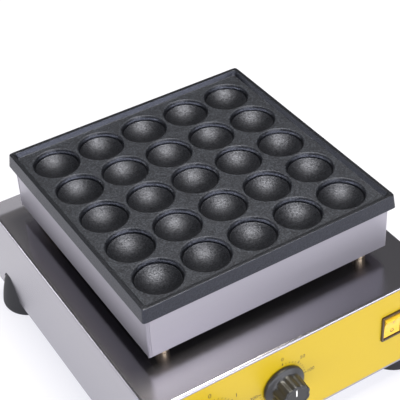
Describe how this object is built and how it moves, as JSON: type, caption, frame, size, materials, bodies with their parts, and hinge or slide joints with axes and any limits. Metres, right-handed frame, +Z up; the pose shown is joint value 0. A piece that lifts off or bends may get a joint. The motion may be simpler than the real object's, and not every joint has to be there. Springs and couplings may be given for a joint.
{
  "type": "mini pancake grill",
  "caption": "Countertop mini pancake grill: square non-stick plate with a grid of round wells on a raised heating box, stainless base with yellow control panel and conical rubber feet.",
  "frame": {"origin": "on the bench under the middle of the overall box", "axes": "+Z up, -Y towards the control panel at the front, +X to the right seen from the front"},
  "size_m": [0.3359, 0.3876, 0.2],
  "materials": {
    "nonstick": "cast aluminium with a dark satin non-stick coat, fine pebble grain",
    "stainless": "brushed stainless sheet",
    "inner_sheet": "plain galvanised sheet",
    "zinc_steel": "zinc-plated steel",
    "element_sheath": "heat-darkened tube",
    "spacer_brass": "turned brass",
    "copper": "copper tube",
    "white_ceramic": "unglazed",
    "fibre": "pressed fibre",
    "lead_sleeving": "glass braid sleeving",
    "yellow_film": "satin printed film",
    "foot_rubber": "matt",
    "knob_plastic": "satin black",
    "control_plastic": "moulded black",
    "timer_plastic": "moulded cream",
    "switch_brown": "dark brown",
    "amber": "translucent amber"
  },
  "bodies": {
    "grill": {"baking_plate": "nonstick", "heater_skirt": "stainless", "base_shell": "stainless", "front_panel": "stainless", "rear_panel": "stainless", "heater_pan": "inner_sheet", "bottom_plate": "inner_sheet", "left_rail": "inner_sheet", "right_rail": "inner_sheet", "wire_sleeve": "inner_sheet", "bulb_clips": "inner_sheet", "plate_studs": "zinc_steel", "stud_nuts": "zinc_steel", "rear_screws": "zinc_steel", "bottom_screws": "zinc_steel", "foot_screws": "zinc_steel", "foot_nuts": "zinc_steel", "control_screws": "zinc_steel", "clip_screws": "zinc_steel", "clamp_bolts": "zinc_steel", "clamp_bars": "zinc_steel", "left_heating_element": "element_sheath", "right_heating_element": "element_sheath", "stand_off_spacers": "spacer_brass", "thermostat_bulb": "copper", "terminal_beads": "white_ceramic", "terminal_block": "white_ceramic", "insulation_pad": "fibre", "heater_leads": "lead_sleeving", "control_overlay": "yellow_film", "front_left_foot": "foot_rubber", "front_right_foot": "foot_rubber", "rear_left_foot": "foot_rubber", "rear_right_foot": "foot_rubber", "thermostat_body": "control_plastic", "lamp_body": "control_plastic", "gland_body": "control_plastic", "gland_locknut": "control_plastic", "gland_cap": "control_plastic", "timer_body": "timer_plastic", "switch_body": "switch_brown", "lamp_lens": "amber"},
    "thermostat_dial": {"thermostat_shaft": "zinc_steel", "thermostat_knob": "knob_plastic"},
    "timer_dial": {"timer_shaft": "zinc_steel", "timer_knob": "knob_plastic"},
    "rocker": {"power_rocker": "amber"}
  },
  "joints": [
    {"name": "thermostat_turn", "type": "hinge", "parent": "grill", "child": "thermostat_dial", "pos_m": [-0.02, -0.1708, 0.074], "axis": [0, 1, 0], "range_deg": [0, 270]},
    {"name": "timer_turn", "type": "hinge", "parent": "grill", "child": "timer_dial", "pos_m": [-0.098, -0.1708, 0.074], "axis": [0, 1, 0], "range_deg": [0, 300]},
    {"name": "rocker_tilt", "type": "hinge", "parent": "grill", "child": "rocker", "pos_m": [0.108, -0.1688, 0.078], "axis": [-1, 0, 0], "range_deg": [0, 18]}
  ]
}
